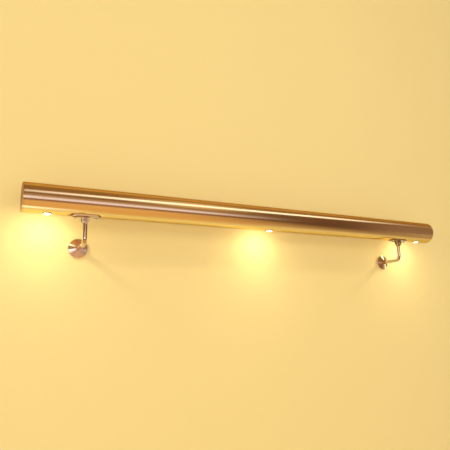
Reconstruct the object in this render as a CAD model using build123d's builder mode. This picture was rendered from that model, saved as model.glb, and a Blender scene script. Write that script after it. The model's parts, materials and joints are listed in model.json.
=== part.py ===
"""LED handrail: a straight metal tube with three lamps in its underside, on two wall brackets.

Millimetres. The origin is the centre of the left wall plate's back face. +X runs along the rail
towards the right bracket, +Y goes into the wall and +Z is up, so the whole object has y below 0.
"""

import os
from math import copysign, cos, pi, radians, sin, sqrt, tan

from build123d import *

# Rail
rail_length = 1160.0
rail_diameter = 60.3
rail_wall = 2.0
bracket_inset = 125.0
wall_offset = 70.0
axis_height = 88.0

# End caps
cap_edge_thickness = 2.5
cap_crown = 1.2
cap_edge_radius = 1.0
cap_spigot_length = 18.0
cap_spigot_wall = 2.0
cap_spigot_gap = 0.6
cap_rib_gap = 0.1
cap_rib_width = 1.6
cap_rib_count = 12
seam_chamfer = 0.3

# Lamps
spot_inset = 50.0
spot_body_diameter = 15.7
spot_hole_gap = 0.15
spot_body_height = 17.5
spot_flange_diameter = 19.0
spot_flange_thickness = 1.0
spot_end_wall = 1.5
spot_chamber_diameter = 12.4
lens_diameter = 13.0
lens_pocket_depth = 2.0
lens_edge_drop = 0.2
lens_crown = 1.3
board_thickness = 1.2
led_side = 3.5
led_base_height = 0.7
led_dome_radius = 1.4
reflector_wall = 0.5
reflector_throat_radius = 2.7
spot_ring_section = 1.5
lead_hole_spread = 3.2

# Wiring
lead_diameter = 3.0
lead_hole_gap = 0.2
lead_lift = 0.2
lead_bend_share = 0.45
connector_diameter = 8.0
connector_length = 22.0
connector_edge_radius = 0.8
connector_socket_diameter = 1.6
connector_socket_spacing = 3.0
connector_socket_depth = 11.0
connector_left_x = 20.0
connector_angle = 38.0
inlet_x = 60.0
grommet_neck_diameter = 8.0
grommet_flange_diameter = 12.0
grommet_flange_thickness = 1.5
grommet_bore_diameter = 4.0

# Route of a lead: up out of its lamp, over, and down to where it lies in the bore
lead_rise = 20.0
lead_over_x = 26.0
lead_over_rise = 4.0
lead_over_share = 1.4
lead_down_x = 60.0
lead_down_drop = 10.0
lead_down_share = 2.2
lead_lying_x = 98.0
lead_lying_count = 6
lead_lean_angle = 22.0
lead_sway_angle = 4.0
supply_down_x = 42.0
supply_down_drop = 14.0
supply_straight = 18.0

# Saddle and knuckle
saddle_length = 66.0
saddle_width = 24.0
saddle_thickness = 3.0
saddle_edge_radius = 0.8
saddle_screw_spacing = 44.0
saddle_screw_diameter = 5.0
saddle_screw_length = 9.0
screw_head_diameter = 9.5
screw_head_height = 2.75
screw_head_edge = 0.7
screw_flat_diameter = 6.0
screw_socket_width = 3.0
screw_socket_depth = 1.6
screw_hole_gap = 0.2
tapped_gap = 0.04
spot_face_depth = 0.4
spot_face_gap = 0.4
pivot_below_saddle = 5.3
knuckle_diameter = 15.0
knuckle_root_width = 19.0
cheek_thickness = 3.2
pivot_screw_diameter = 5.0
pivot_head_diameter = 9.5
pivot_head_height = 2.4
pivot_head_edge_radius = 0.8
pivot_socket_width = 4.0
pivot_socket_depth = 1.8

# Arm, wall plate and rose
arm_diameter = 10.0
arm_bend_radius = 14.0
tongue_thickness = 5.0
tongue_side_gap = 0.1
tongue_end_gap = 0.4
tongue_bore_gap = 0.05
shoulder_gap = 0.7
plate_diameter = 34.0
plate_thickness = 3.5
plate_screw_circle = 23.0
plate_screw_count = 3
plate_hole_diameter = 5.2
plate_sink_diameter = 9.6
plate_edge_chamfer = 0.4
plate_bore_gap = 0.05
rose_diameter = 42.0
rose_depth = 9.0
rose_rim_depth = 4.4
rose_rim_radius = 0.8
rose_wall = 1.2
rose_hub_diameter = 15.0
rose_boss_depth = 3.6
rose_arm_gap = 0.15
rose_wall_gap = 0.2
ring_section = 1.6
ring_arm_gap = 0.05
ring_groove_gap = 0.05

# Clearance of a face that is bent to sit on the tube
seat_gap = 0.05

# Derived places
rail_radius = rail_diameter / 2
bore_radius = rail_radius - rail_wall
rail_left_x = -bracket_inset
rail_right_x = rail_length - bracket_inset
rail_y = -wall_offset
rail_z = axis_height
rail_bottom_z = rail_z - rail_radius
tube_left_x = rail_left_x + cap_edge_thickness + cap_crown
tube_length = rail_length - 2 * (cap_edge_thickness + cap_crown)
bracket_xs = {"left": 0.0, "right": rail_length - 2 * bracket_inset}
spot_xs = {
    "left": rail_left_x + spot_inset,
    "middle": (rail_left_x + rail_right_x) / 2,
    "right": rail_right_x - spot_inset,
}
saddle_outer_radius = rail_radius + seat_gap + saddle_thickness
pivot_z = rail_z - saddle_outer_radius - pivot_below_saddle
arm_radius = arm_diameter / 2
spot_hole_radius = spot_body_diameter / 2 + spot_hole_gap
board_bottom_z = rail_bottom_z + spot_body_height - spot_end_wall - board_thickness
lens_seat_z = rail_bottom_z + lens_pocket_depth
lead_start_z = rail_bottom_z + spot_body_height - spot_end_wall


def across_rail(x):
    """Plane of the rail's section at x: local x points to the wall and local y points up."""
    return Plane(origin=(x, rail_y, rail_z), x_dir=(0, 1, 0), z_dir=(1, 0, 0))


def along_rail(x):
    """Upright plane through the rail's axis at x: local x is +X and local y is up."""
    return Plane(origin=(x, rail_y, rail_z), x_dir=(1, 0, 0), z_dir=(0, -1, 0))


def underside(x, drop):
    """Level plane under the rail's axis, facing down, where drop is the distance below it."""
    return Plane(origin=(x, rail_y, rail_z - drop), x_dir=(1, 0, 0), z_dir=(0, 0, -1))


def save(part, name):
    part.label = name
    export_step(part, f"parts/{name}.step")


def sagitta(radius, half_chord):
    """How far a circle of this radius falls away from its tangent at half_chord."""
    return radius - sqrt(radius**2 - half_chord**2)


def crown_radius(height, half_chord):
    """Radius of the arc that rises by height over half_chord."""
    return (half_chord**2 + height**2) / (2 * height)


os.makedirs("parts", exist_ok=True)


# The rail tube, with its lamp holes, tapped screw holes and the cable inlet on the wall side.
saddle_screw_xs = [x + side * saddle_screw_spacing / 2 for x in bracket_xs.values() for side in (-1, 1)]
tapped_radius = saddle_screw_diameter / 2 + tapped_gap
inlet_plane = Plane(origin=(inlet_x, rail_y + rail_radius, rail_z), x_dir=(1, 0, 0), z_dir=(0, 1, 0))
grommet_neck_radius = grommet_neck_diameter / 2

with BuildPart() as rail_tube:
    with BuildSketch(across_rail(tube_left_x)):
        Circle(rail_radius)
        Circle(bore_radius, mode=Mode.SUBTRACT)
    extrude(amount=tube_length)
    end_rims = rail_tube.edges().filter_by(GeomType.CIRCLE).sort_by(SortBy.RADIUS)[-2:]
    chamfer(end_rims, length=seam_chamfer)
    with Locations(*[underside(x, rail_radius) for x in spot_xs.values()]):
        Hole(spot_hole_radius, depth=rail_radius)
    with Locations(*[underside(x, rail_radius) for x in saddle_screw_xs]):
        Hole(tapped_radius, depth=rail_radius)
    with Locations(inlet_plane):
        Hole(grommet_neck_radius + seat_gap, depth=rail_radius)
save(rail_tube.part, "rail_tube")


def make_end_cap(end_x, outward):
    """Crowned disc with a rounded edge, on a hollow spigot whose ribs grip the tube's bore."""
    section = Plane(origin=(end_x, rail_y, rail_z), x_dir=(outward, 0, 0), z_dir=(0, 1, 0))
    shoulder = -cap_crown - cap_edge_thickness
    rim = -cap_crown
    spigot_end = shoulder - cap_spigot_length
    spigot_radius = bore_radius - cap_spigot_gap
    spigot_inner = spigot_radius - cap_spigot_wall
    edge_start = rail_radius - cap_edge_radius
    with BuildPart() as cap:
        with BuildSketch(section):
            with BuildLine():
                RadiusArc((0, 0), (rim, edge_start), crown_radius(cap_crown, edge_start))
                RadiusArc((rim, edge_start), (rim - cap_edge_radius, rail_radius), cap_edge_radius)
                Polyline(
                    (rim - cap_edge_radius, rail_radius),
                    (shoulder + seam_chamfer, rail_radius),
                    (shoulder, rail_radius - seam_chamfer),
                    (shoulder, spigot_radius),
                    (spigot_end, spigot_radius),
                    (spigot_end, spigot_inner),
                    (shoulder, spigot_inner),
                    (shoulder, 0),
                    (0, 0),
                )
            make_face()
        revolve(axis=Axis(section.origin, section.x_dir))
        rib_top = bore_radius - cap_rib_gap
        rib_root = spigot_radius - cap_spigot_wall / 2
        with BuildSketch(across_rail(end_x + outward * shoulder)):
            with PolarLocations((rib_root + rib_top) / 2, cap_rib_count):
                Rectangle(rib_top - rib_root, cap_rib_width)
        extrude(amount=-outward * cap_spigot_length)
    return cap.part


save(make_end_cap(rail_left_x, -1), "left_end_cap")
save(make_end_cap(rail_right_x, 1), "right_end_cap")


# The lamps. Each housing goes into its hole from below; its flange is bent to the tube.
spot_bore_radius = spot_chamber_diameter / 2
lens_radius = lens_diameter / 2
ring_outer = spot_body_diameter / 2 + spot_ring_section / 2
ring_z = rail_bottom_z + rail_wall + sagitta(bore_radius, ring_outer) + spot_ring_section / 2 + seat_gap


def make_spot_housing(x):
    """Turned cup, closed at the top but for two lead holes, with a groove for its snap-in ring."""
    body_radius = spot_body_diameter / 2
    flange_radius = spot_flange_diameter / 2
    flange_skin = rail_radius + seat_gap + spot_flange_thickness
    top_drop = rail_radius - spot_body_height
    with BuildPart() as housing:
        with BuildSketch(underside(x, 0)):
            Circle(flange_radius)
        extrude(amount=flange_skin)
        with BuildSketch(across_rail(x - flange_radius)):
            Circle(rail_radius + seat_gap)
        extrude(amount=2 * flange_radius, mode=Mode.SUBTRACT)
        with BuildSketch(underside(x, top_drop)):
            Circle(body_radius)
        extrude(amount=flange_skin - top_drop)
        with BuildSketch(across_rail(x - flange_radius)):
            Circle(flange_skin)
        extrude(amount=2 * flange_radius, mode=Mode.INTERSECT)
        with BuildSketch(underside(x, top_drop + spot_end_wall)):
            Circle(spot_bore_radius)
        extrude(amount=spot_body_height, mode=Mode.SUBTRACT)
        with BuildSketch(underside(x, rail_radius - lens_pocket_depth)):
            Circle(lens_radius + seat_gap)
        extrude(amount=spot_body_height, mode=Mode.SUBTRACT)
        with BuildSketch(underside(x, top_drop)):
            with Locations((0, lead_hole_spread), (0, -lead_hole_spread)):
                Circle(lead_diameter / 2 + lead_hole_gap)
        extrude(amount=spot_end_wall, mode=Mode.SUBTRACT)
        with Locations((x, rail_y, ring_z)):
            Torus(body_radius, spot_ring_section / 2 + seat_gap, mode=Mode.SUBTRACT)
    return housing.part


def make_spot_ring(x):
    with BuildPart() as ring:
        with Locations((x, rail_y, ring_z)):
            Torus(spot_body_diameter / 2, spot_ring_section / 2)
    return ring.part


def make_spot_lens(x):
    """Plain disc above, crowned below, seated on the ledge of its pocket."""
    top = lens_seat_z - rail_z
    edge = rail_bottom_z - lens_edge_drop - rail_z
    with BuildPart() as lens:
        with BuildSketch(along_rail(x)):
            with BuildLine():
                Polyline((0, edge - lens_crown), (0, top), (lens_radius, top), (lens_radius, edge))
                RadiusArc(
                    (lens_radius, edge), (0, edge - lens_crown), crown_radius(lens_crown, lens_radius)
                )
            make_face()
        revolve(axis=Axis((x, rail_y, rail_z), (0, 0, 1)))
    return lens.part


def make_spot_reflector(x):
    """Thin open cone from the board down to the lens, with a flat ring at its throat."""
    throat = board_bottom_z - rail_z
    mouth = lens_seat_z - rail_z
    mouth_outer = spot_bore_radius - seat_gap
    mouth_inner = mouth_outer - reflector_wall
    throat_outer = reflector_throat_radius + reflector_wall
    with BuildPart() as reflector:
        with BuildSketch(along_rail(x)):
            with BuildLine():
                Polyline(
                    (mouth_inner, mouth),
                    (mouth_outer, mouth),
                    (mouth_outer, mouth + reflector_wall),
                    (throat_outer, throat - reflector_wall),
                    (throat_outer, throat),
                    (reflector_throat_radius, throat),
                    (mouth_inner, mouth),
                )
            make_face()
        revolve(axis=Axis((x, rail_y, rail_z), (0, 0, 1)))
    return reflector.part


def make_spot_board(x):
    with BuildPart() as board:
        with BuildSketch(underside(x, rail_z - board_bottom_z - board_thickness)):
            Circle(spot_bore_radius - seat_gap)
        extrude(amount=board_thickness)
    return board.part


def make_spot_led(x):
    """Square base with a clear dome, facing down."""
    with BuildPart() as led:
        with BuildSketch(underside(x, rail_z - board_bottom_z)):
            Rectangle(led_side, led_side)
        extrude(amount=led_base_height)
        with Locations((x, rail_y, board_bottom_z - led_base_height)):
            Sphere(
                led_dome_radius,
                arc_size1=-90,
                arc_size2=0,
                align=(Align.CENTER, Align.CENTER, Align.MAX),
            )
    return led.part


for side, x in spot_xs.items():
    save(make_spot_housing(x), f"{side}_spot_housing")
    save(make_spot_lens(x), f"{side}_spot_lens")
    save(make_spot_reflector(x), f"{side}_spot_reflector")
    save(make_spot_board(x), f"{side}_spot_board")
    save(make_spot_led(x), f"{side}_spot_led")
    save(make_spot_ring(x), f"{side}_spot_ring")


def in_bore(x, angle, diameter):
    """Centre of a round thing that lies in the bore, angle degrees from the lowest line towards the wall."""
    reach = bore_radius - diameter / 2 - lead_lift
    return (x, rail_y + reach * sin(radians(angle)), rail_z - reach * cos(radians(angle)))


def make_lead(route):
    """Round cable along a route whose corners are as wide as its straight runs allow."""
    points = [Vector(point) for point in route]
    runs = [points[i + 1] - points[i] for i in range(len(points) - 1)]
    bends = []
    for run, next_run in zip(runs, runs[1:]):
        half_turn = radians(run.get_angle(next_run)) / 2
        bends.append(lead_bend_share * min(run.length, next_run.length) / tan(half_turn))
    with BuildPart() as lead:
        with BuildLine():
            path = FilletPolyline(*points, radius=bends)
        with BuildSketch(Plane(origin=path @ 0, z_dir=path % 0)):
            Circle(lead_diameter / 2)
        sweep()
    tightest = min(bends)
    section = pi * (lead_diameter / 2) ** 2
    print(f"lead length {path.length:.1f}, tightest bend {tightest:.1f}, "
          f"volume over section times length {lead.part.volume / (section * path.length):.4f}")
    return lead.part


def leave_lamp(x, spread, direction):
    """Points where a lead climbs out of a lamp and turns along the rail."""
    y = rail_y + spread
    return [
        (x, y, lead_start_z),
        (x, y, lead_start_z + lead_rise),
        (
            x + direction * lead_over_x,
            rail_y + spread * lead_over_share,
            lead_start_z + lead_rise + lead_over_rise,
        ),
        (
            x + direction * lead_down_x,
            rail_y + spread * lead_down_share,
            lead_start_z + lead_rise - lead_down_drop,
        ),
    ]


def make_link_lead(from_x, to_x, spread):
    """Lead between two lamps: up and over at both ends, lying in the bore in between."""
    lying_start = from_x + lead_lying_x
    step = (to_x - lead_lying_x - lying_start) / (lead_lying_count - 1)
    lying = []
    for i in range(lead_lying_count):
        angle = copysign(lead_lean_angle, spread) + lead_sway_angle * (-1) ** i
        lying.append(in_bore(lying_start + i * step, angle, lead_diameter))
    return make_lead(leave_lamp(from_x, spread, 1) + lying + leave_lamp(to_x, spread, -1)[::-1])


save(make_link_lead(spot_xs["left"], spot_xs["middle"], -lead_hole_spread), "left_link_lead")
save(make_link_lead(spot_xs["middle"], spot_xs["right"], lead_hole_spread), "right_link_lead")

supply_end = in_bore(connector_left_x, connector_angle, connector_diameter)
supply_route = leave_lamp(spot_xs["left"], lead_hole_spread, 1)[:3] + [
    (
        connector_left_x - supply_down_x,
        (rail_y + supply_end[1]) / 2,
        lead_start_z + lead_rise - supply_down_drop,
    ),
    (connector_left_x - supply_straight, supply_end[1], supply_end[2]),
    supply_end,
]
save(make_lead(supply_route), "supply_lead")


with BuildPart() as supply_connector:
    with BuildSketch(Plane(origin=supply_end, z_dir=(1, 0, 0))):
        Circle(connector_diameter / 2)
    extrude(amount=connector_length)
    fillet(supply_connector.edges(), radius=connector_edge_radius)
    with BuildSketch(Plane(origin=supply_end, z_dir=(1, 0, 0)).offset(connector_length)):
        with GridLocations(connector_socket_spacing, 0, 2, 1):
            Circle(connector_socket_diameter / 2)
    extrude(amount=-connector_socket_depth, mode=Mode.SUBTRACT)
save(supply_connector.part, "supply_connector")


# The cable inlet: a rubber spool that grips the tube's wall, with both flanges bent to the tube.
with BuildPart() as cable_grommet:
    flange_radius = grommet_flange_diameter / 2
    outer_skin = rail_radius + seat_gap + grommet_flange_thickness
    inner_skin = bore_radius - seat_gap - grommet_flange_thickness
    inlet_axis_plane = Plane(origin=(inlet_x, rail_y, rail_z), x_dir=(1, 0, 0), z_dir=(0, 1, 0))
    with BuildSketch(inlet_axis_plane):
        Circle(flange_radius)
    extrude(amount=outer_skin)
    with BuildSketch(across_rail(inlet_x - flange_radius)):
        Circle(rail_radius + seat_gap)
        Circle(bore_radius - seat_gap, mode=Mode.SUBTRACT)
    extrude(amount=2 * flange_radius, mode=Mode.SUBTRACT)
    with BuildSketch(inlet_axis_plane):
        Circle(grommet_neck_radius)
    extrude(amount=outer_skin)
    with BuildSketch(across_rail(inlet_x - flange_radius)):
        Circle(outer_skin)
        Circle(inner_skin, mode=Mode.SUBTRACT)
    extrude(amount=2 * flange_radius, mode=Mode.INTERSECT)
    with Locations(inlet_plane):
        Hole(grommet_bore_diameter / 2)
save(cable_grommet.part, "cable_grommet")


def make_saddle(x):
    """Stadium plate bent to the tube, with the two cheeks of the knuckle under its middle."""
    knuckle_radius = knuckle_diameter / 2
    fork_width = tongue_thickness + 2 * (tongue_side_gap + cheek_thickness)
    slot_width = tongue_thickness + 2 * tongue_side_gap
    root = -(saddle_outer_radius - saddle_thickness / 2)
    pivot = -(saddle_outer_radius + pivot_below_saddle)
    with BuildPart() as saddle:
        with BuildSketch(underside(x, 0)):
            SlotOverall(saddle_length, saddle_width)
        extrude(amount=saddle_outer_radius)
        with BuildSketch(across_rail(x - saddle_length / 2)):
            Circle(saddle_outer_radius)
            Circle(rail_radius + seat_gap, mode=Mode.SUBTRACT)
        extrude(amount=saddle_length, mode=Mode.INTERSECT)
        outer_rim = saddle.faces().sort_by(lambda face: face.center().Z)[0].outer_wire().edges()
        fillet(outer_rim, radius=saddle_edge_radius)
        with BuildSketch(along_rail(x).offset(-fork_width / 2)):
            with Locations((0, pivot)):
                Circle(knuckle_radius)
            Polygon(
                (-knuckle_root_width / 2, root),
                (knuckle_root_width / 2, root),
                (knuckle_radius, pivot),
                (-knuckle_radius, pivot),
                align=None,
            )
        extrude(amount=fork_width)
        with BuildSketch(along_rail(x).offset(-slot_width / 2)):
            with Locations((0, pivot - knuckle_radius + pivot_below_saddle / 2)):
                Rectangle(2 * knuckle_root_width, 2 * knuckle_radius + pivot_below_saddle)
        extrude(amount=slot_width, mode=Mode.SUBTRACT)
        with Locations(Plane(origin=(x, rail_y - fork_width / 2, pivot_z), z_dir=(0, -1, 0))):
            Hole(pivot_screw_diameter / 2 + tapped_gap, depth=fork_width)
        with Locations(
            underside(x - saddle_screw_spacing / 2, saddle_outer_radius),
            underside(x + saddle_screw_spacing / 2, saddle_outer_radius),
        ):
            CounterBoreHole(
                saddle_screw_diameter / 2 + screw_hole_gap,
                screw_head_diameter / 2 + spot_face_gap,
                spot_face_depth,
                depth=2 * saddle_thickness,
            )
    return saddle.part


def make_saddle_screws(x):
    """Button-head socket screws, pointing up, with their heads seated in the saddle's spot faces."""
    seat_drop = saddle_outer_radius - spot_face_depth
    shank_radius = saddle_screw_diameter / 2
    head_radius = screw_head_diameter / 2
    head_top = -seat_drop - screw_head_height
    head_side = (head_radius, -seat_drop - screw_head_edge)
    flat_edge = (screw_flat_diameter / 2, head_top)
    with BuildPart() as screws:
        for side in (-1, 1):
            screw_x = x + side * saddle_screw_spacing / 2
            with BuildSketch(along_rail(screw_x)):
                with BuildLine():
                    Polyline(
                        (0, head_top),
                        (0, -seat_drop + saddle_screw_length),
                        (shank_radius, -seat_drop + saddle_screw_length),
                        (shank_radius, -seat_drop),
                        (head_radius, -seat_drop),
                        head_side,
                    )
                    RadiusArc(head_side, flat_edge, head_radius)
                    Line(flat_edge, (0, head_top))
                make_face()
            revolve(axis=Axis((screw_x, rail_y, rail_z), (0, 0, 1)))
            with BuildSketch(underside(screw_x, seat_drop + screw_head_height)):
                RegularPolygon(screw_socket_width / 2, 6, major_radius=False)
            extrude(amount=-screw_socket_depth, mode=Mode.SUBTRACT)
    return screws.part


def make_pivot_screw(x):
    """Low-head socket screw through the near cheek and the tongue, threaded into the far cheek."""
    fork_width = tongue_thickness + 2 * (tongue_side_gap + cheek_thickness)
    head_seat = Plane(
        origin=(x, rail_y - fork_width / 2, pivot_z), x_dir=(1, 0, 0), z_dir=(0, -1, 0)
    )
    with BuildPart() as screw:
        with BuildSketch(head_seat):
            Circle(pivot_screw_diameter / 2)
        extrude(amount=-fork_width)
        with BuildSketch(head_seat):
            Circle(pivot_head_diameter / 2)
        extrude(amount=pivot_head_height)
        head_edge = screw.faces().sort_by(Axis.Y)[0].edges()
        fillet(head_edge, radius=pivot_head_edge_radius)
        with BuildSketch(head_seat.offset(pivot_head_height)):
            RegularPolygon(pivot_socket_width / 2, 6, major_radius=False)
        extrude(amount=-pivot_socket_depth, mode=Mode.SUBTRACT)
    return screw.part


def make_arm(x):
    """Round bar, milled to a tongue at the knuckle, bent through a right angle into the wall plate."""
    shoulder_z = pivot_z - knuckle_diameter / 2 - shoulder_gap
    tongue_radius = pivot_below_saddle - tongue_end_gap
    with BuildPart() as arm:
        with BuildLine():
            path = FilletPolyline(
                (x, rail_y, shoulder_z), (x, rail_y, 0), (x, 0, 0), radius=arm_bend_radius
            )
        with BuildSketch(Plane(origin=path @ 0, z_dir=path % 0)):
            Circle(arm_radius)
        sweep()
        with BuildSketch(
            Plane(origin=(x, rail_y - tongue_thickness / 2, 0), x_dir=(1, 0, 0), z_dir=(0, 1, 0))
        ):
            with Locations((0, -pivot_z)):
                Circle(tongue_radius)
            with Locations((0, -(pivot_z + shoulder_z) / 2)):
                Rectangle(2 * tongue_radius, pivot_z - shoulder_z)
        extrude(amount=tongue_thickness)
        with Locations(Plane(origin=(x, rail_y, pivot_z), z_dir=(0, -1, 0))):
            Hole(pivot_screw_diameter / 2 + tongue_bore_gap, depth=tongue_thickness)
    return arm.part


def make_wall_plate(x):
    """Round plate welded to the arm's end, with its screw holes sunk on the room side."""
    with BuildPart() as plate:
        with BuildSketch(Plane(origin=(x, 0, 0), x_dir=(1, 0, 0), z_dir=(0, -1, 0))):
            Circle(plate_diameter / 2)
            Circle(arm_radius + plate_bore_gap, mode=Mode.SUBTRACT)
        extrude(amount=plate_thickness)
        front_rim = plate.edges().filter_by(GeomType.CIRCLE).group_by(Axis.Y)[0].sort_by(SortBy.RADIUS)[-1]
        chamfer(front_rim, length=plate_edge_chamfer)
        front = Plane(origin=(x, -plate_thickness, 0), x_dir=(1, 0, 0), z_dir=(0, -1, 0))
        with Locations(front):
            with PolarLocations(plate_screw_circle / 2, plate_screw_count, start_angle=90):
                CounterSinkHole(plate_hole_diameter / 2, plate_sink_diameter / 2, depth=plate_thickness,
                                counter_sink_angle=90)
    return plate.part


# The rose in section: depth from the wall against radius, outer skin and then inner skin.
hub_radius = rose_hub_diameter / 2
rose_radius = rose_diameter / 2
cone_slope = (rose_depth - rose_rim_depth) / (rose_radius - hub_radius)
ring_center_radius = arm_radius + ring_arm_gap + ring_section / 2
ring_depth = rose_depth - rose_boss_depth / 2


def make_rose(x):
    """Hollow turned cone over the wall plate, with a grooved boss round the arm."""
    bore = arm_radius + rose_arm_gap
    inner_rim = rose_radius - rose_wall
    inner_rim_depth = rose_rim_depth - rose_wall / 2
    skin_drop = rose_wall * sqrt(1 + cone_slope**2)
    inner_hub_depth = rose_depth - skin_drop
    boss_back = rose_depth - rose_boss_depth
    section = Plane(origin=(x, -rose_wall_gap, 0), x_dir=(0, -1, 0), z_dir=(1, 0, 0))
    with BuildPart() as rose:
        with BuildSketch(section):
            with BuildLine():
                Polyline(
                    (0, inner_rim),
                    (0, rose_radius),
                    (rose_rim_depth, rose_radius),
                    (rose_depth, hub_radius),
                    (rose_depth, bore),
                    (boss_back, bore),
                    (boss_back, hub_radius),
                    (inner_hub_depth, hub_radius),
                    (inner_rim_depth, inner_rim),
                    (0, inner_rim),
                )
            make_face()
        revolve(axis=Axis((x, 0, 0), (0, 1, 0)))
        rim_edge = rose.edges().filter_by(GeomType.CIRCLE).sort_by(SortBy.RADIUS)[-2:].sort_by(Axis.Y)[0]
        fillet(rim_edge, radius=rose_rim_radius)
        with Locations(Plane(origin=(x, -rose_wall_gap - ring_depth, 0), z_dir=(0, -1, 0))):
            Torus(ring_center_radius, ring_section / 2 + ring_groove_gap, mode=Mode.SUBTRACT)
    return rose.part


def make_rose_ring(x):
    with BuildPart() as ring:
        with Locations(Plane(origin=(x, -rose_wall_gap - ring_depth, 0), z_dir=(0, -1, 0))):
            Torus(ring_center_radius, ring_section / 2)
    return ring.part


for side, x in bracket_xs.items():
    save(make_saddle(x), f"{side}_saddle")
    save(make_saddle_screws(x), f"{side}_saddle_screws")
    save(make_pivot_screw(x), f"{side}_pivot_screw")
    save(make_arm(x), f"{side}_arm")
    save(make_wall_plate(x), f"{side}_wall_plate")
    save(make_rose(x), f"{side}_rose")
    save(make_rose_ring(x), f"{side}_rose_ring")
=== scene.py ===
# %% [markdown]
# # A lit handrail in Blender
#
# The object is a straight metal handrail on two articulated brackets, with three small lamps let into
# its underside. Its construction comes ready made as a frame of solids, and no shape is added to it.
# This lesson gives each solid its finish, and builds the stage on which bright metal can be seen: a
# wall, a floor, a tent for the reflections, and the lamps.

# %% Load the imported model
import json
import math

import bpy
from mathutils import Matrix, Vector


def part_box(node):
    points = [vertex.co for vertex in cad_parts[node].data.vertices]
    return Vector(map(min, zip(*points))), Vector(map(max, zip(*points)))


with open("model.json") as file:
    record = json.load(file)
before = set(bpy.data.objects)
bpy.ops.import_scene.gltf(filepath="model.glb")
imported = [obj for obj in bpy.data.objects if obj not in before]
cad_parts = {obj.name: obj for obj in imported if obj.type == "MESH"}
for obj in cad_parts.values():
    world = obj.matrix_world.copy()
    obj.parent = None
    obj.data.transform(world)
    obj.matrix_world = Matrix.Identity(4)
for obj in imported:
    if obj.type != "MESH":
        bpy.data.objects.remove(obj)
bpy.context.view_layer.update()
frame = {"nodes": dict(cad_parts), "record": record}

print("nodes:", len(frame["nodes"]))

# %% [markdown]
# ## Where things are
#
# The origin is the middle of the left wall plate, on the wall. The rail runs along +X, the wall is the
# plane Y = 0 and +Z is up. Sizes that later steps need are read from the frame's boxes, so a change in
# the solids carries through to the looks.

# %% Read the main places from the frame
tube_low, tube_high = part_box("rail_tube")
rail_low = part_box("left_end_cap")[0]
rail_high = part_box("right_end_cap")[1]
tube_centre = (tube_low + tube_high) / 2
tube_radius = (tube_high.z - tube_low.z) / 2
sides = ("left", "right")
spots = ("left", "middle", "right")
print("tube radius in mm:", round(1000 * tube_radius, 2))
print("rail from", round(1000 * rail_low.x, 1), "to", round(1000 * rail_high.x, 1), "mm")

# %% [markdown]
# ## The camera
#
# The photograph was taken from the left of the rail and a little below it, with the camera tilted up,
# turned to the right and very slightly rolled. Those values come from fitting the rail's ends, lamps and
# brackets to the picture. The lens is worked out from its focal length in pixels, because that is what
# such a fit gives. The three turns are made in the order in which a hand would make them: the whole
# camera to the side, then up, then rolled about its own axis.

# %% Place the camera
IMAGE_SIDE = 450
SENSOR_WIDTH = 36.0
FOCAL_LENGTH_PX = 471.7
CAMERA_PLACE = (-0.1982, -1.0507, -0.1464)
CAMERA_TURN = math.radians(28.233)
CAMERA_TILT = math.radians(10.696)
CAMERA_ROLL = math.radians(-1.120)
NEAREST_SEEN, FARTHEST_SEEN = 0.05, 50

camera_data = bpy.data.cameras.new("camera")
camera_data.sensor_width = SENSOR_WIDTH
camera_data.lens = FOCAL_LENGTH_PX / IMAGE_SIDE * SENSOR_WIDTH
camera_data.clip_start = NEAREST_SEEN
camera_data.clip_end = FARTHEST_SEEN
camera = bpy.data.objects.new("camera", camera_data)
bpy.context.scene.collection.objects.link(camera)
camera.location = CAMERA_PLACE
camera.rotation_euler = (
    Matrix.Rotation(-CAMERA_TURN, 3, "Z")
    @ Matrix.Rotation(math.pi / 2 + CAMERA_TILT, 3, "X")
    @ Matrix.Rotation(CAMERA_ROLL, 3, "Z")
).to_euler()
bpy.context.scene.camera = camera
print("lens in mm:", round(camera_data.lens, 2))

# %% [markdown]
# ## Node helpers
#
# Every finish is a small tree of shader nodes. These helpers add a node with its settings in one call
# and join two sockets, so that each material below reads as a list of what it is made of. The last few
# return an output socket, which makes sums and mixes as short to write as in plain code.


# %% Helpers for single nodes
def add(tree, kind, **settings):
    """A node of this kind with these settings; a setting whose name is an input fills that input."""
    node = tree.nodes.new(kind)
    for name, value in settings.items():
        label = name.replace("_", " ")
        if label in node.inputs:
            node.inputs[label].default_value = value
        else:
            setattr(node, name, value)
    return node


def join(tree, out_node, out_name, in_node, in_name):
    """Join one node's output to another's input, each by its name or its number."""
    tree.links.new(out_node.outputs[out_name], in_node.inputs[in_name])


def feed(tree, source, socket):
    """Give a socket what it takes: another node's output, a colour or a number."""
    if isinstance(source, bpy.types.NodeSocket):
        tree.links.new(source, socket)
    elif isinstance(source, tuple):
        socket.default_value = (*source, 1.0)
    else:
        socket.default_value = source


# %% Helpers for materials
def new_material(name):
    """A material with a Principled shader, and its tree and shader."""
    material = bpy.data.materials.new(name)
    material.use_nodes = True
    shader = material.node_tree.nodes["Principled BSDF"]
    return material, material.node_tree, shader


def empty_material(name):
    """A material with nothing but its output, its tree, and the socket that takes its surface."""
    material = bpy.data.materials.new(name)
    material.use_nodes = True
    tree = material.node_tree
    tree.nodes.clear()
    output = add(tree, "ShaderNodeOutputMaterial")
    return material, tree, output.inputs["Surface"]


def paint(obj, material):
    """Give an object this one material."""
    obj.data.materials.clear()
    obj.data.materials.append(material)


# %% Helpers for sums and fades
def maths(tree, operation, *sources, **settings):
    """The result of a Math node on these numbers or outputs."""
    node = add(tree, "ShaderNodeMath", operation=operation, **settings)
    for source, socket in zip(sources, node.inputs):
        feed(tree, source, socket)
    return node.outputs[0]


def fade(tree, value, start, end):
    """Smoothly 0 to 1 as value goes from start to end."""
    node = add(tree, "ShaderNodeMapRange", interpolation_type="SMOOTHSTEP", From_Min=start, From_Max=end)
    feed(tree, value, node.inputs["Value"])
    return node.outputs["Result"]


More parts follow.
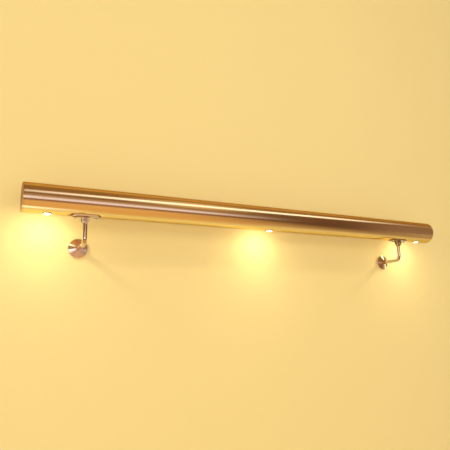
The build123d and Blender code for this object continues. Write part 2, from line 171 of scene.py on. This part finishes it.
# %% Helpers for mixes and ramps
# a colour Mix node's sockets share their names with hidden ones, so they are taken by number
MIX_FIRST, MIX_SECOND, MIX_RESULT = 6, 7, 2


def mix_colours(tree, factor, first, second, **settings):
    """The result of mixing two colours or outputs."""
    node = add(tree, "ShaderNodeMix", data_type="RGBA", **settings)
    feed(tree, factor, node.inputs["Factor"])
    feed(tree, first, node.inputs[MIX_FIRST])
    feed(tree, second, node.inputs[MIX_SECOND])
    return node.outputs[MIX_RESULT]


def ramp(tree, stops):
    """A colour ramp with these (place, colour) stops."""
    node = tree.nodes.new("ShaderNodeValToRGB")
    elements = node.color_ramp.elements
    while len(elements) < len(stops):
        elements.new(0.5)
    for element, (place, colour) in zip(elements, stops):
        element.position = place
        element.color = (*colour, 1.0)
    return node


def grey(value):
    """A neutral colour for ramps that drive a number."""
    return (value, value, value)


# %% [markdown]
# ## The wall and the floor
#
# A handrail is looked at against its wall. The wall is a plain pale plaster plane just behind the wall
# plates, and the floor lies well below, at about the height of a stair. Both could be one bent sheet,
# but two planes keep the wall flat where the roses meet it.
#
# The wall has two tricks. It is clear to a ray that comes from behind, so that the back of the rail can
# be looked at, and to one that has only just started, so that a plate's own back isn't shut in the dark
# gap behind it. And metal mirrors it with painted light and shade that the eye doesn't see: a painted
# pool of light below the rail, where the lamps would light a real wall, and browner painted shade above.
# The floor has only the first trick, for views from below.


# %% Helpers for the wall's two tricks
# a ray shorter than this, in metres, goes through the wall
NEAR_WALL = 0.0013
# between these heights in metres the painted reflection goes over from the painted light below to the
# painted shade above
PAINTED_LIGHT_HEIGHTS = (0.02, 0.14)


def open_from_behind(tree, shader, ray):
    """Let rays from behind and from close by go through the surface."""
    side = add(tree, "ShaderNodeNewGeometry")
    near = maths(tree, "LESS_THAN", ray.outputs["Ray Length"], NEAR_WALL)
    hidden = maths(tree, "MAXIMUM", near, side.outputs["Backfacing"])
    clear = add(tree, "ShaderNodeBsdfTransparent")
    mix = add(tree, "ShaderNodeMixShader")
    feed(tree, hidden, mix.inputs["Fac"])
    join(tree, shader, 0, mix, 1)
    join(tree, clear, 0, mix, 2)
    join(tree, mix, 0, tree.nodes["Material Output"], "Surface")


def mirror_painted_light_and_shade(tree, shader, ray, place, colour, tones):
    """Show metal a painted pool of light below and painted shade above, and the eye the plain colour."""
    axes = add(tree, "ShaderNodeSeparateXYZ")
    join(tree, place, "Object", axes, "Vector")
    height = fade(tree, axes.outputs["Z"], *PAINTED_LIGHT_HEIGHTS)
    # painted reflection: pale painted light low on the wall, browner painted shade higher up
    painted_reflection = mix_colours(tree, height, *tones)
    shown = mix_colours(tree, ray.outputs["Is Glossy Ray"], colour, painted_reflection)
    feed(tree, shown, shader.inputs["Base Color"])


# %% Make the plaster
PLASTER_GRAINS_PER_METRE = 90.0
PLASTER_GRAIN_HEIGHT = 0.002
WALL_COLOUR = (0.92, 0.69, 0.27)
# painted light and shade that only metal mirrors: a pale painted pool of light below the rail, browner
# painted shade above
WALL_PAINTED_LIGHT_AND_SHADE = ((0.93, 0.98, 0.72), (0.70, 0.50, 0.25))
FLOOR_COLOUR = (0.84, 0.81, 0.76)


def make_plaster(name, colour, painted_light_and_shade=None):
    """Pale matt plaster with a faint grain, clear from behind and to what touches it."""
    material, tree, shader = new_material(name)
    shader.inputs["Base Color"].default_value = (*colour, 1.0)
    shader.inputs["Roughness"].default_value = 0.85
    shader.inputs["Specular IOR Level"].default_value = 0.2
    place = add(tree, "ShaderNodeTexCoord")
    grain = add(tree, "ShaderNodeTexNoise", Scale=PLASTER_GRAINS_PER_METRE, Detail=6.0)
    bump = add(tree, "ShaderNodeBump", Strength=0.08, Distance=PLASTER_GRAIN_HEIGHT)
    join(tree, place, "Object", grain, "Vector")
    join(tree, grain, "Fac", bump, "Height")
    join(tree, bump, "Normal", shader, "Normal")
    ray = add(tree, "ShaderNodeLightPath")
    if painted_light_and_shade:
        mirror_painted_light_and_shade(tree, shader, ray, place, colour, painted_light_and_shade)
    open_from_behind(tree, shader, ray)
    return material


wall_plaster = make_plaster("wall_plaster", WALL_COLOUR, WALL_PAINTED_LIGHT_AND_SHADE)
floor_plaster = make_plaster("floor_plaster", FLOOR_COLOUR)
print("plasters:", wall_plaster.name, "and", floor_plaster.name)


# %% Build the wall and the floor
def stage_plane(name, corners, material):
    """A flat backdrop through four corners."""
    mesh = bpy.data.meshes.new(name)
    mesh.from_pydata(corners, [], [(0, 1, 2, 3)])
    plane = bpy.data.objects.new(name, mesh)
    bpy.context.scene.collection.objects.link(plane)
    paint(plane, material)
    print(name, "faces", tuple(round(v, 1) for v in plane.data.polygons[0].normal))


WALL_GAP = 0.0006
FLOOR_LEVEL = -0.9
STAGE_LEFT, STAGE_RIGHT, STAGE_TOP, STAGE_DEPTH = -5.0, 6.0, 3.5, 6.0

stage_plane(
    "wall",
    [
        (STAGE_LEFT, WALL_GAP, FLOOR_LEVEL),
        (STAGE_RIGHT, WALL_GAP, FLOOR_LEVEL),
        (STAGE_RIGHT, WALL_GAP, STAGE_TOP),
        (STAGE_LEFT, WALL_GAP, STAGE_TOP),
    ],
    wall_plaster,
)
stage_plane(
    "floor",
    [
        (STAGE_LEFT, -STAGE_DEPTH, FLOOR_LEVEL),
        (STAGE_RIGHT, -STAGE_DEPTH, FLOOR_LEVEL),
        (STAGE_RIGHT, STAGE_DEPTH, FLOOR_LEVEL),
        (STAGE_LEFT, STAGE_DEPTH, FLOOR_LEVEL),
    ],
    floor_plaster,
)

# %% [markdown]
# ## The light tent
#
# Polished metal has almost no look of its own: it shows what stands around it. Photographers therefore
# put a bright tube in a tent of cloth with dark and light panels, and each long panel becomes a line
# that runs along the metal. Here the tent is a wide drum round the rail's axis. Only reflections see it,
# so it neither lights the wall nor shows in the picture. A place on it is given by an angle round the
# rail: 0 degrees is towards the wall, 90 is up, 180 is towards the viewer and 270 is down.
#
# The cloth is given as (angle, colour) stops, once for the near end of the rail and once for the far
# end, and goes over from one to the other along the rail.

# %% Choose the tent's cloth
NEAR_CLOTH = [
    (0, (0.86, 0.74, 0.38)),
    (78, (0.52, 0.39, 0.18)),
    (98, (0.34, 0.21, 0.11)),
    (158, (0.24, 0.14, 0.10)),
    (170, (0.50, 0.38, 0.36)),
    (194, (0.50, 0.38, 0.36)),
    (204, (0.20, 0.085, 0.10)),
    (214, (0.86, 0.62, 0.40)),
    (250, (0.88, 0.60, 0.32)),
    (272, (0.80, 0.64, 0.36)),
    (360, (0.86, 0.74, 0.38)),
]
FAR_CLOTH = [
    (0, (0.70, 0.55, 0.30)),
    (78, (0.42, 0.29, 0.18)),
    (98, (0.36, 0.25, 0.16)),
    (145, (0.155, 0.09, 0.07)),
    (206, (0.14, 0.08, 0.07)),
    (220, (0.22, 0.15, 0.12)),
    (236, (0.42, 0.31, 0.24)),
    (252, (0.54, 0.44, 0.38)),
    (266, (0.92, 0.92, 0.80)),
    (286, (0.85, 0.78, 0.45)),
    (360, (0.70, 0.55, 0.30)),
]
# along X in metres, where the near cloth begins and ends to go over into the far one
CLOTH_CHANGE = (0.35, 1.35)
print("cloth stops:", len(NEAR_CLOTH), "near and", len(FAR_CLOTH), "far")

# %% [markdown]
# ## The tent's panels
#
# Each panel is a soft-edged patch laid over the cloth. The glow and the strip on the ceiling make the
# bright line high on the tube, and the front window makes the pink band below it. The floor line lights
# the left end of the tube's lower edge. The two softboxes and the dark card between them stand to the
# left, where the roses look: they make the pale wedges that a turned face shows, and a dim card beyond
# them keeps the rest of it brown. The far panels tone the right end of the rail. The two end panels go
# all the way round, so that the end caps mirror something pale.

# %% Choose the tent's panels
# each panel: its middle in degrees, its drift in degrees per metre along X, its half width in degrees,
# its two ends along X in metres, the softness of those ends in metres, and its colour
TENT_PANELS = {
    "ceiling_glow": (131, 0, 27, (0.48, 0.74), 0.25, (1.0, 0.86, 0.66)),
    "ceiling_strip": (139.5, -12.5, 8, (0.0, 1.65), 0.5, (1.9, 2.15, 3.5)),
    "front_window": (187, 0, 8, (-0.45, 0.80), 0.34, (1.05, 1.15, 2.4)),
    "far_ceiling": (116, 0, 16, (1.85, 4.0), 0.30, (0.47, 0.35, 0.38)),
    "far_haze": (180, 0, 44, (1.60, 3.5), 0.25, (0.32, 0.23, 0.24)),
    "far_step": (228, 0, 20, (1.80, 4.3), 0.30, (0.52, 0.45, 0.42)),
    "far_softbox": (217, 0, 6, (2.55, 3.4), 0.20, (9.0, 12.0, 15.0)),
    "floor_line": (267, 0, 8, (-0.4, 0.04), 0.20, (1.9, 2.4, 3.4)),
    "dark_card": (171, 0, 22, (-1.10, -0.20), 0.05, (0.36, 0.27, 0.25)),
    "upper_softbox": (153, 0, 2.5, (-0.80, -0.13), 0.04, (0.95, 0.90, 0.70)),
    "lower_softbox": (190, 0, 4, (-0.80, -0.13), 0.04, (4.0, 5.2, 9.5)),
    "left_card": (180, 0, 70, (-5.0, -1.1), 0.1, (0.30, 0.20, 0.13)),
    "left_end": (180, 0, 400, (-9.0, -3.4), 0.1, (0.85, 0.85, 1.0)),
    "right_end": (180, 0, 400, (4.3, 9.0), 0.1, (0.85, 0.85, 1.0)),
}
print("tent panels:", len(TENT_PANELS))

# %% [markdown]
# ## Hanging the tent
#
# The cloth is one material. It turns a point's place on the drum into two numbers, a share of a full
# turn round the rail and a distance along it. Two ramps read the turn, and each panel is laid over them
# where four fades, one for each of its edges, are all open.


# %% Make the tent's cloth
FULL_TURN = 360
# the softness of a panel's long edges, as a share of its half width
PANEL_EDGE = 0.35


def hang_panel(tree, turn, along, cloth, panel):
    """The cloth's colour with one glowing panel laid over it."""
    middle, drift, half_width, (left, right), softness, colour = panel
    low = (middle - half_width) / FULL_TURN
    high = (middle + half_width) / FULL_TURN
    edge = PANEL_EDGE * half_width / FULL_TURN
    straight = maths(tree, "MULTIPLY_ADD", along, -drift / FULL_TURN, turn)
    past_low = fade(tree, straight, low - edge, low + edge)
    before_high = fade(tree, straight, high + edge, high - edge)
    past_left = fade(tree, along, left - softness, left + softness)
    before_right = fade(tree, along, right + softness, right - softness)
    across = maths(tree, "MULTIPLY", past_low, before_high)
    lengthways = maths(tree, "MULTIPLY", past_left, before_right)
    return mix_colours(tree, maths(tree, "MULTIPLY", across, lengthways), cloth, colour)


def make_tent_cloth():
    """Glowing cloth whose colour follows the angle round the rail, with the panels on it."""
    material, tree, surface = empty_material("tent_cloth")
    place = add(tree, "ShaderNodeTexCoord")
    axes = add(tree, "ShaderNodeSeparateXYZ")
    join(tree, place, "Object", axes, "Vector")
    angle = maths(tree, "ARCTAN2", axes.outputs["Z"], axes.outputs["Y"])
    turn = maths(tree, "FRACT", maths(tree, "DIVIDE", angle, 2 * math.pi))
    along = maths(tree, "ADD", axes.outputs["X"], tube_centre.x)
    cloths = []
    for stops in (NEAR_CLOTH, FAR_CLOTH):
        cloth = ramp(tree, [(degrees / FULL_TURN, colour) for degrees, colour in stops])
        feed(tree, turn, cloth.inputs["Fac"])
        cloths.append(cloth.outputs["Color"])
    colour = mix_colours(tree, fade(tree, along, *CLOTH_CHANGE), *cloths)
    for panel in TENT_PANELS.values():
        colour = hang_panel(tree, turn, along, colour, panel)
    glow = add(tree, "ShaderNodeEmission")
    feed(tree, colour, glow.inputs["Color"])
    feed(tree, glow.outputs["Emission"], surface)
    return material


tent_cloth = make_tent_cloth()
print("nodes in the tent's cloth:", len(tent_cloth.node_tree.nodes))

# %% Hang the tent round the rail
TENT_RADIUS = 0.85
TENT_HALF_LENGTH = 4.0
TENT_SIDES = 96


def only_mirrored(obj):
    """Hide an object from every ray but those that metal and gloss send out."""
    obj.visible_camera = False
    obj.visible_diffuse = False
    obj.visible_shadow = False
    obj.visible_transmission = False
    obj.visible_volume_scatter = False


bpy.ops.object.select_all(action="DESELECT")
bpy.ops.mesh.primitive_cylinder_add(
    vertices=TENT_SIDES,
    radius=TENT_RADIUS,
    depth=2 * TENT_HALF_LENGTH,
    end_fill_type="NGON",
    location=tube_centre,
    rotation=(0, math.pi / 2, 0),
)
tent = bpy.context.object
tent.name = "light_tent"
bpy.ops.object.transform_apply(location=False, rotation=True, scale=True)
paint(tent, tent_cloth)
only_mirrored(tent)
print("tent in metres:", TENT_RADIUS, "in radius and", 2 * TENT_HALF_LENGTH, "long")

# %% [markdown]
# ## Cards for the brackets
#
# The brackets are too small for the tent: its broad panels pass them by, and their round bars go dark.
# A photographer holds a small white card before such a part. These cards glow, stand half a metre in
# front and show in reflections only. Light linking lets one part alone see a card, and everything else
# looks straight through it. The first card is cut to an outline, because the light line on the left bar
# follows it, and the other two are plain strips.


# %% Helpers for the cards
CARD_FRONT = -0.5


def make_card_light(name, colour):
    """An even glow that can be seen through."""
    material, tree, surface = empty_material(name)
    glow = add(tree, "ShaderNodeEmission", Color=(*colour, 1.0))
    clear = add(tree, "ShaderNodeBsdfTransparent")
    both = add(tree, "ShaderNodeAddShader")
    join(tree, glow, 0, both, 0)
    join(tree, clear, 0, both, 1)
    feed(tree, both.outputs[0], surface)
    return material


def stand_card(name, corners, colour, seen_by):
    """A flat card with these (x, z) corners, mirrored by one node alone."""
    mesh = bpy.data.meshes.new(name)
    mesh.from_pydata([(x, CARD_FRONT, z) for x, z in corners], [], [tuple(range(len(corners)))])
    card = bpy.data.objects.new(name, mesh)
    bpy.context.scene.collection.objects.link(card)
    paint(card, make_card_light(name, colour))
    only_mirrored(card)
    viewers = bpy.data.collections.new(f"{name}_viewers")
    viewers.objects.link(frame["nodes"][seen_by])
    card.light_linking.receiver_collection = viewers
    print(name, "is seen by", seen_by)


# %% Stand the cards
stand_card(
    "left_bracket_card",
    corners=[
        (-0.22, -0.010),
        (-0.22, 0.105),
        (0.04, 0.105),
        (0.04, 0.150),
        (0.13, 0.150),
        (0.13, 0.105),
        (0.20, 0.105),
        (0.20, -0.010),
    ],
    colour=(1.35, 1.30, 2.0),
    seen_by="left_arm",
)
stand_card(
    "right_arm_card",
    corners=[(-0.30, 0.0), (-0.30, 0.2), (1.12, 0.2), (1.12, 0.0)],
    colour=(1.0, 0.98, 1.1),
    seen_by="right_arm",
)
stand_card(
    "left_saddle_card",
    corners=[(-0.30, 0.10), (-0.30, 0.20), (0.45, 0.20), (0.45, 0.10)],
    colour=(0.85, 0.85, 0.95),
    seen_by="left_saddle",
)

# %% [markdown]
# ## Studio lamps
#
# The studio light is soft and plain. A large panel stands in front, as low as the camera, so the shadow
# that the rail throws on the wall stays hidden behind the rail. A weak panel high in front shades the
# wall under the rail, and another on the left rounds the ends. The metal mirrors the tent, so none of
# the panels shows in reflections.

# %% Set the studio lamps
# each lamp: its place, its width and height, its power in watts, and its colour
STUDIO_LAMPS = {
    "front_panel": ((0.1, -2.8, -0.1), (4.0, 2.2), 40.0, (1.0, 0.97, 0.92)),
    "ceiling_panel": ((0.3, -1.9, 2.05), (1.6, 0.25), 10.0, (1.0, 0.95, 0.86)),
    "left_panel": ((-2.2, -1.6, 0.0), (1.4, 1.4), 8.0, (1.0, 0.97, 0.92)),
}


def area_lamp(name, place, target, size, power, colour):
    """A rectangular soft lamp that points at a target and isn't mirrored."""
    data = bpy.data.lights.new(name, "AREA")
    data.shape = "RECTANGLE"
    data.size, data.size_y = size
    data.energy = power
    data.color = colour
    lamp = bpy.data.objects.new(name, data)
    bpy.context.scene.collection.objects.link(lamp)
    lamp.location = place
    lamp.rotation_euler = (Vector(target) - Vector(place)).to_track_quat("-Z", "Y").to_euler()
    lamp.visible_camera = False
    lamp.visible_glossy = False


rail_middle = (tube_centre.x, 0.0, tube_centre.z)
for name, (place, size, power, colour) in STUDIO_LAMPS.items():
    area_lamp(name, place, rail_middle, size, power, colour)
print("studio lamps:", ", ".join(STUDIO_LAMPS))

# %% [markdown]
# ## The handrail's own light
#
# The lamps in the rail are warm downlights, and each draws the pool on the wall that such a rail is
# bought for. A glowing lens alone would need very many samples to light the wall smoothly, so each lens
# gets a spot of light just under it, turned a little towards the wall. The spot is made of two, one
# that metal mirrors and one that it doesn't, which sets how strong the glints on the arms and roses are
# without changing the pools.

# %% Set the downlights
DOWNLIGHT_COLOUR = (1.0, 1.0, 0.80)
DOWNLIGHT_POWER = 0.46
DOWNLIGHT_TURN = math.radians(40)
DOWNLIGHT_SPREAD = math.radians(180)
DOWNLIGHT_RADIUS = 0.004
GLINT_SHARE = 0.6
LENS_CLEARANCE = 0.0015


def downlight(name, place, power, mirrored):
    """A warm spot of light under a lamp's lens, turned a little towards the wall."""
    data = bpy.data.lights.new(name, "SPOT")
    data.energy = power
    data.color = DOWNLIGHT_COLOUR
    data.spot_size = DOWNLIGHT_SPREAD
    data.spot_blend = 1.0
    data.shadow_soft_size = DOWNLIGHT_RADIUS
    lamp = bpy.data.objects.new(name, data)
    bpy.context.scene.collection.objects.link(lamp)
    lamp.location = place
    lamp.rotation_euler = (DOWNLIGHT_TURN, 0, 0)
    lamp.visible_camera = False
    lamp.visible_glossy = mirrored


for spot in spots:
    lens_low, lens_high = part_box(f"{spot}_spot_lens")
    lens_middle = (lens_low + lens_high) / 2
    lens_front = (lens_middle.x, lens_middle.y, lens_low.z - LENS_CLEARANCE)
    downlight(f"{spot}_downlight", lens_front, DOWNLIGHT_POWER * (1 - GLINT_SHARE), False)
    downlight(f"{spot}_glint", lens_front, DOWNLIGHT_POWER * GLINT_SHARE, True)

# %% [markdown]
# ## The world
#
# The world is a pale, even sky. It lights the object at half strength, and is shown at nearly full
# strength to the camera and in reflections, so a view from behind has a white background. The colours
# stay as they are written, with the Standard view.

# %% Set the world
WORLD_COLOUR = (1.0, 0.98, 0.95)
WORLD_LIGHT = 0.50
WORLD_SEEN = 0.95

world = bpy.data.worlds.new("studio")
world.use_nodes = True
bpy.context.scene.world = world
sky_tree = world.node_tree
background = sky_tree.nodes["Background"]
background.inputs["Color"].default_value = (*WORLD_COLOUR, 1.0)
path = add(sky_tree, "ShaderNodeLightPath")
direct = maths(sky_tree, "ADD", path.outputs["Is Camera Ray"], path.outputs["Is Glossy Ray"])
seen = maths(sky_tree, "ADD", direct, path.outputs["Is Transmission Ray"], use_clamp=True)
level = add(sky_tree, "ShaderNodeMapRange", To_Min=WORLD_LIGHT, To_Max=WORLD_SEEN)
feed(sky_tree, seen, level.inputs["Value"])
join(sky_tree, level, "Result", background, "Strength")
bpy.context.scene.view_settings.view_transform = "Standard"
print("world:", WORLD_LIGHT, "as light and", WORLD_SEEN, "as seen")

# %% [markdown]
# ## The tube's finish
#
# All the metal has the same warm tone, and the finishes differ in how they were worked. The tube was
# polished lengthways by a belt, which leaves fine lines along it. A picture of scratches could do that,
# but a noise stretched along the tube does it on any length without a seam. One noise, fine across
# the tube, drives the gloss and the height, and a broader one drives the tone.


# %% Make the tube's drawn finish
# the metal's tone where it is seen at a flat angle
EDGE_TONE = (0.62, 0.42, 0.20)
STREAKS_PER_METRE = (1.2, 520.0, 520.0)
BANDS_PER_METRE = (2.0, 60.0, 60.0)
SCRATCH_HEIGHT = 0.00005


def make_drawn_metal(name, light_tone, dark_tone):
    """Metal polished lengthways: streaks along X in tone, roughness and height."""
    material, tree, shader = new_material(name)
    shader.inputs["Metallic"].default_value = 1.0
    shader.inputs["Specular Tint"].default_value = (*EDGE_TONE, 1.0)
    place = add(tree, "ShaderNodeTexCoord")
    stretch = add(tree, "ShaderNodeMapping", Scale=STREAKS_PER_METRE)
    streaks = add(tree, "ShaderNodeTexNoise", Scale=1.0, Detail=4.0, Roughness=0.6)
    wide = add(tree, "ShaderNodeMapping", Scale=BANDS_PER_METRE)
    bands = add(tree, "ShaderNodeTexNoise", Scale=1.0, Detail=2.0)
    tone = ramp(tree, [(0.35, dark_tone), (0.65, light_tone)])
    smooth = ramp(tree, [(0.30, grey(0.12)), (0.75, grey(0.23))])
    bump = add(tree, "ShaderNodeBump", Strength=0.10, Distance=SCRATCH_HEIGHT)
    join(tree, place, "Object", stretch, "Vector")
    join(tree, place, "Object", wide, "Vector")
    join(tree, stretch, "Vector", streaks, "Vector")
    join(tree, wide, "Vector", bands, "Vector")
    join(tree, bands, "Fac", tone, "Fac")
    join(tree, tone, "Color", shader, "Base Color")
    join(tree, streaks, "Fac", smooth, "Fac")
    join(tree, smooth, "Color", shader, "Roughness")
    join(tree, streaks, "Fac", bump, "Height")
    join(tree, bump, "Normal", shader, "Normal")
    return material


drawn_metal = make_drawn_metal(
    "drawn_metal", light_tone=(0.88, 0.56, 0.20), dark_tone=(0.82, 0.51, 0.175)
)
print("finish:", drawn_metal.name)

# %% [markdown]
# ## The brackets' polish
#
# The saddles, arms, screws and lamp housings were polished all over. Such metal is smooth, with faint
# smudges from hands. Inner corners, where a saddle meets its cheeks and a screw its seat, get painted
# shade: ambient occlusion finds those corners, whatever the shape, and darkens the colour there. The
# lamps' reflectors take the same recipe in a paler tone.


# %% Make the polished finishes
SMUDGES_PER_METRE = 70.0
# painted shade: within this reach, ambient occlusion darkens the colour of inner corners towards this
# tone
PAINTED_SHADE_REACH = 0.0015
PAINTED_SHADE_TONE = (0.30, 0.24, 0.18)
UNSHADED_TONE = (1.0, 1.0, 1.0)


def make_polished_metal(name, light_tone, dark_tone, roughness):
    """Metal polished all over, with faint smudges, and painted shade in inner corners."""
    material, tree, shader = new_material(name)
    shader.inputs["Metallic"].default_value = 1.0
    place = add(tree, "ShaderNodeTexCoord")
    smudge = add(tree, "ShaderNodeTexNoise", Scale=SMUDGES_PER_METRE, Detail=5.0)
    tone = ramp(tree, [(0.35, dark_tone), (0.65, light_tone)])
    smooth = ramp(tree, [(0.35, grey(roughness[0])), (0.70, grey(roughness[1]))])
    # painted shade in inner corners, multiplied into the metal's tone
    corners = add(tree, "ShaderNodeAmbientOcclusion", samples=6, Distance=PAINTED_SHADE_REACH)
    painted_shade = ramp(tree, [(0.35, PAINTED_SHADE_TONE), (0.80, UNSHADED_TONE)])
    join(tree, place, "Object", smudge, "Vector")
    join(tree, smudge, "Fac", tone, "Fac")
    join(tree, corners, "AO", painted_shade, "Fac")
    shaded_tone = mix_colours(
        tree, 1.0, tone.outputs["Color"], painted_shade.outputs["Color"], blend_type="MULTIPLY"
    )
    feed(tree, shaded_tone, shader.inputs["Base Color"])
    join(tree, smudge, "Fac", smooth, "Fac")
    join(tree, smooth, "Color", shader, "Roughness")
    return material


polished_metal = make_polished_metal(
    "polished_metal",
    light_tone=(0.68, 0.46, 0.21),
    dark_tone=(0.60, 0.39, 0.17),
    roughness=(0.08, 0.15),
)
screw_metal = make_polished_metal(
    "screw_metal",
    light_tone=(0.84, 0.60, 0.34),
    dark_tone=(0.76, 0.52, 0.27),
    roughness=(0.08, 0.16),
)
bright_reflector = make_polished_metal(
    "bright_reflector",
    light_tone=(0.92, 0.91, 0.88),
    dark_tone=(0.86, 0.85, 0.82),
    roughness=(0.10, 0.20),
)
print("finishes:", polished_metal.name, screw_metal.name, bright_reflector.name)

# %% [markdown]
# ## The roses' turned rings
#
# The roses were turned on a lathe. The tool leaves rings finer than the eye can part, and they spread
# each highlight into a wedge that points at the middle. An anisotropic shader with a radial tangent
# does the spreading, and a noise on the distance from the rose's axis gives the rings themselves. Each
# rose has its own material, because the rings need its own middle.


# %% Make the turned finishes
RINGS_PER_METRE = 2600.0
RING_HEIGHT = 0.00005
TURNED_LIGHT_TONE = (0.94, 0.62, 0.28)
TURNED_DARK_TONE = (0.82, 0.50, 0.21)


def make_turned_metal(name, light_tone, dark_tone, centre):
    """Metal turned on a lathe round a Y axis through centre: fine rings, and a stretched highlight."""
    material, tree, shader = new_material(name)
    shader.inputs["Metallic"].default_value = 1.0
    shader.inputs["Anisotropic"].default_value = 1.0
    shader.inputs["Anisotropic Rotation"].default_value = 0.25
    place = add(tree, "ShaderNodeTexCoord")
    middle = add(tree, "ShaderNodeMapping", Location=(-centre[0], 0.0, -centre[1]))
    axes = add(tree, "ShaderNodeSeparateXYZ")
    flat = add(tree, "ShaderNodeCombineXYZ")
    reach = add(tree, "ShaderNodeVectorMath", operation="LENGTH")
    rings = add(tree, "ShaderNodeTexNoise", noise_dimensions="1D", Scale=1.0, Detail=3.0)
    tone = ramp(tree, [(0.30, dark_tone), (0.70, light_tone)])
    smooth = ramp(tree, [(0.30, grey(0.22)), (0.75, grey(0.30))])
    bump = add(tree, "ShaderNodeBump", Strength=0.20, Distance=RING_HEIGHT)
    tangent = add(tree, "ShaderNodeTangent", direction_type="RADIAL", axis="Y")
    join(tree, place, "Object", middle, "Vector")
    join(tree, middle, "Vector", axes, "Vector")
    join(tree, axes, "X", flat, "X")
    join(tree, axes, "Z", flat, "Z")
    join(tree, flat, "Vector", reach, 0)
    scaled = maths(tree, "MULTIPLY", reach.outputs["Value"], RINGS_PER_METRE)
    feed(tree, scaled, rings.inputs["W"])
    join(tree, rings, "Fac", tone, "Fac")
    join(tree, tone, "Color", shader, "Base Color")
    join(tree, rings, "Fac", smooth, "Fac")
    join(tree, smooth, "Color", shader, "Roughness")
    join(tree, rings, "Fac", bump, "Height")
    join(tree, bump, "Normal", shader, "Normal")
    join(tree, tangent, "Tangent", shader, "Tangent")
    return material


turned_metals = {}
for side in sides:
    rose_low, rose_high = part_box(f"{side}_rose")
    rose_centre = ((rose_low.x + rose_high.x) / 2, (rose_low.z + rose_high.z) / 2)
    turned_metals[f"{side}_rose"] = make_turned_metal(
        f"{side}_turned_metal", TURNED_LIGHT_TONE, TURNED_DARK_TONE, rose_centre
    )
    print(side, "rose's middle in mm:", [round(1000 * v, 1) for v in rose_centre])

# %% [markdown]
# ## Plain finishes
#
# The wall plates are hidden by the roses, so they were only ground. The boards, the emitters, the rings,
# the grommet, the connector and the leads are moulded or coated. One recipe serves them all: a fine
# grain that varies tone, gloss and height a little, because no real surface is perfectly even.


# %% Write the recipe for the plain finishes
def make_plain(name, light_tone, dark_tone, roughness, grains_per_metre, height=0.0, metallic=0.0):
    """A moulded or cut material with a fine grain in tone, gloss and height."""
    material, tree, shader = new_material(name)
    shader.inputs["Metallic"].default_value = metallic
    place = add(tree, "ShaderNodeTexCoord")
    speckle = add(tree, "ShaderNodeTexNoise", Scale=grains_per_metre, Detail=4.0)
    tone = ramp(tree, [(0.35, dark_tone), (0.65, light_tone)])
    smooth = ramp(tree, [(0.3, grey(roughness[0])), (0.7, grey(roughness[1]))])
    bump = add(tree, "ShaderNodeBump", Strength=0.3, Distance=height)
    join(tree, place, "Object", speckle, "Vector")
    join(tree, speckle, "Fac", tone, "Fac")
    join(tree, tone, "Color", shader, "Base Color")
    join(tree, speckle, "Fac", smooth, "Fac")
    join(tree, smooth, "Color", shader, "Roughness")
    join(tree, speckle, "Fac", bump, "Height")
    join(tree, bump, "Normal", shader, "Normal")
    return material


# %% Make the ground plates, the boards and the emitters
ground_plate = make_plain(
    "ground_plate",
    light_tone=(0.62, 0.58, 0.54),
    dark_tone=(0.52, 0.48, 0.44),
    roughness=(0.35, 0.5),
    grains_per_metre=900.0,
    height=0.00003,
    metallic=1.0,
)
board = make_plain(
    "board",
    light_tone=(0.86, 0.88, 0.85),
    dark_tone=(0.80, 0.82, 0.79),
    roughness=(0.4, 0.5),
    grains_per_metre=800.0,
)
phosphor = make_plain(
    "phosphor",
    light_tone=(1.0, 0.86, 0.30),
    dark_tone=(0.95, 0.78, 0.22),
    roughness=(0.3, 0.4),
    grains_per_metre=900.0,
)
print("finishes:", ground_plate.name, board.name, phosphor.name)

# %% Make the rubber, the connector's plastic and the leads' jacket
rubber = make_plain(
    "rubber",
    light_tone=(0.045, 0.043, 0.04),
    dark_tone=(0.03, 0.03, 0.03),
    roughness=(0.6, 0.8),
    grains_per_metre=1500.0,
    height=0.00003,
)
connector = make_plain(
    "connector",
    light_tone=(0.06, 0.06, 0.065),
    dark_tone=(0.045, 0.045, 0.05),
    roughness=(0.4, 0.55),
    grains_per_metre=1200.0,
    height=0.00002,
)
lead_jacket = make_plain(
    "lead_jacket",
    light_tone=(0.78, 0.77, 0.74),
    dark_tone=(0.70, 0.69, 0.66),
    roughness=(0.5, 0.6),
    grains_per_metre=500.0,
)
print("finishes:", rubber.name, connector.name, lead_jacket.name)

# %% [markdown]
# ## The lit lens
#
# The lenses are frosted and lit from behind. They could be clear glass over a bright emitter, but a lens
# that glows of itself looks the same and stays free of noise. It is whiter on the frost's grains and
# more golden between them.


# %% Make the lens
FROST_GRAINS_PER_METRE = 1400.0
LENS_GLOW = 14.0


def make_lens(name):
    """Lit, lightly frosted lens: it glows, and lets some light through."""
    material, tree, shader = new_material(name)
    shader.inputs["Base Color"].default_value = (1.0, 0.97, 0.90, 1.0)
    shader.inputs["Transmission Weight"].default_value = 0.5
    shader.inputs["Roughness"].default_value = 0.30
    shader.inputs["Emission Strength"].default_value = LENS_GLOW
    place = add(tree, "ShaderNodeTexCoord")
    frost = add(tree, "ShaderNodeTexVoronoi", Scale=FROST_GRAINS_PER_METRE)
    glow = ramp(tree, [(0.0, (1.0, 0.93, 0.72)), (0.6, (1.0, 0.84, 0.50))])
    join(tree, place, "Object", frost, "Vector")
    join(tree, frost, "Distance", glow, "Fac")
    join(tree, glow, "Color", shader, "Emission Color")
    return material


lit_lens = make_lens("lit_lens")
print("finish:", lit_lens.name)

# %% [markdown]
# ## Giving each solid its finish
#
# The record names a material slot for every node. Each slot has one finish here, apart from the roses,
# which have a finish each.

# %% Paint the nodes
finishes = {
    "satin_steel": drawn_metal,
    "polished_steel": polished_metal,
    "screw_steel": screw_metal,
    "plate_steel": ground_plate,
    "lens": lit_lens,
    "reflector": bright_reflector,
    "circuit_board": board,
    "emitter": phosphor,
    "rubber": rubber,
    "connector_plastic": connector,
    "lead_jacket": lead_jacket,
}
for part in frame["record"]["subparts"]:
    node = frame["nodes"][part["node"]]
    paint(node, turned_metals.get(part["node"]) or finishes[part["material_slot"]])
print("finishes:", len(finishes) + len(turned_metals))
